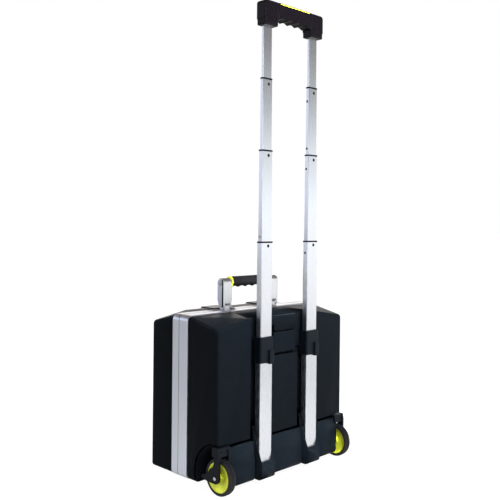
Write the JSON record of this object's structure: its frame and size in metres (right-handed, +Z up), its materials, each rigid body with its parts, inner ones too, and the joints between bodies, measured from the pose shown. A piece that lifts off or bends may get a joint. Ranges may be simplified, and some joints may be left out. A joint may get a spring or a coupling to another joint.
{
  "type": "rolling tool box",
  "caption": "Hard-shell tool case in an aluminium frame, with a hinged lid, draw latches, a folding carry handle, a telescopic pull handle and two small wheels.",
  "frame": {"origin": "on the floor, under the centre of the object's bounding box, as the case stands on its wheels and lid feet with the pull handle extended", "axes": "+Z up; the lid faces -Y and the pull handle and wheels are at +Y; +X is to the right, seen from the lid"},
  "size_m": [0.461, 0.2816, 1.1542],
  "materials": {
    "shell": "grained ABS",
    "frame": "satin anodised",
    "tube": "satin anodised",
    "black_plastic": "fine matt",
    "latch": "black satin",
    "rubber": "matt",
    "tyre": "matt",
    "hub": "satin moulded",
    "accent": "satin moulded",
    "steel": "zinc plated",
    "cast": "fine cast, satin"
  },
  "bodies": {
    "case": {"rear_shell": "shell", "rear_frame": "frame", "rail_left": "tube", "rail_right": "tube", "rail_clamp_left": "black_plastic", "rail_clamp_right": "black_plastic", "clamp_bridge": "shell", "wheel_carriage": "shell", "wheel_bracket_left": "black_plastic", "wheel_bracket_right": "black_plastic", "wheel_axle_left": "steel", "wheel_axle_right": "steel", "handle_mount_left": "cast", "handle_mount_right": "cast", "handle_pin_left": "steel", "handle_pin_right": "steel", "hinge_leaf_rear_left": "steel", "hinge_leaf_rear_right": "steel", "hinge_pin_left": "steel", "hinge_pin_right": "steel", "latch_keeper_left": "steel", "latch_keeper_right": "steel"},
    "lid": {"lid_shell": "shell", "lid_frame": "frame", "hinge_leaf_lid_left": "steel", "hinge_leaf_lid_right": "steel", "latch_base_left": "steel", "latch_base_right": "steel", "foot_left": "rubber", "foot_right": "rubber"},
    "latch_left": {"latch_lever_left": "latch"},
    "latch_right": {"latch_lever_right": "latch"},
    "carry_handle": {"handle_arm_left": "cast", "handle_arm_right": "cast", "handle_grip": "black_plastic", "grip_ring_left": "accent", "grip_ring_right": "accent", "handle_screw_left": "steel", "handle_screw_right": "steel"},
    "stage_a": {"stage_a_tube_left": "tube", "stage_a_tube_right": "tube", "stage_a_collar_left": "black_plastic", "stage_a_collar_right": "black_plastic"},
    "stage_b": {"stage_b_tube_left": "tube", "stage_b_tube_right": "tube", "stage_b_collar_left": "black_plastic", "stage_b_collar_right": "black_plastic"},
    "stage_c": {"stage_c_tube_left": "tube", "stage_c_tube_right": "tube", "stage_c_collar_left": "black_plastic", "stage_c_collar_right": "black_plastic"},
    "stage_d": {"stage_d_tube_left": "tube", "stage_d_tube_right": "tube", "pull_grip": "black_plastic"},
    "release_button": {"release_button": "accent"},
    "wheel_left": {"wheel_hub_left": "hub", "wheel_tyre_left": "tyre"},
    "wheel_right": {"wheel_hub_right": "hub", "wheel_tyre_right": "tyre"}
  },
  "joints": [
    {"name": "lid_hinge", "type": "hinge", "parent": "case", "child": "lid", "pos_m": [0, -0.03275, 0.0082], "axis": [1, 0, 0], "range_deg": [0, 100]},
    {"name": "latch_left_hinge", "type": "hinge", "parent": "lid", "child": "latch_left", "pos_m": [-0.081, -0.09275, 0.4054], "axis": [1, 0, 0], "range_deg": [0, 95]},
    {"name": "latch_right_hinge", "type": "hinge", "parent": "lid", "child": "latch_right", "pos_m": [0.081, -0.09275, 0.4054], "axis": [1, 0, 0], "range_deg": [0, 95]},
    {"name": "carry_handle_hinge", "type": "hinge", "parent": "case", "child": "carry_handle", "pos_m": [0, -0.02575, 0.411], "axis": [1, 0, 0], "range_deg": [-78, 0]},
    {"name": "pull_slide_a", "type": "slide", "parent": "case", "child": "stage_a", "axis": [0, 0, 1], "range_m": [-0.2217, 0]},
    {"name": "pull_slide_b", "type": "slide", "parent": "stage_a", "child": "stage_b", "axis": [0, 0, 1], "range_m": [-0.2087, 0]},
    {"name": "pull_slide_c", "type": "slide", "parent": "stage_b", "child": "stage_c", "axis": [0, 0, 1], "range_m": [-0.1617, 0]},
    {"name": "pull_slide_d", "type": "slide", "parent": "stage_c", "child": "stage_d", "axis": [0, 0, 1], "range_m": [-0.1195, 0]},
    {"name": "release_button_press", "type": "slide", "parent": "stage_d", "child": "release_button", "axis": [0, 0, 1], "range_m": [-0.003, 0], "stiffness_N_per_m": 400, "springref_m": 0.003},
    {"name": "wheel_left_spin", "type": "hinge", "parent": "case", "child": "wheel_left", "pos_m": [-0.21, 0.09825, 0.0425], "axis": [1, 0, 0], "continuous": true},
    {"name": "wheel_right_spin", "type": "hinge", "parent": "case", "child": "wheel_right", "pos_m": [0.21, 0.09825, 0.0425], "axis": [1, 0, 0], "continuous": true}
  ]
}
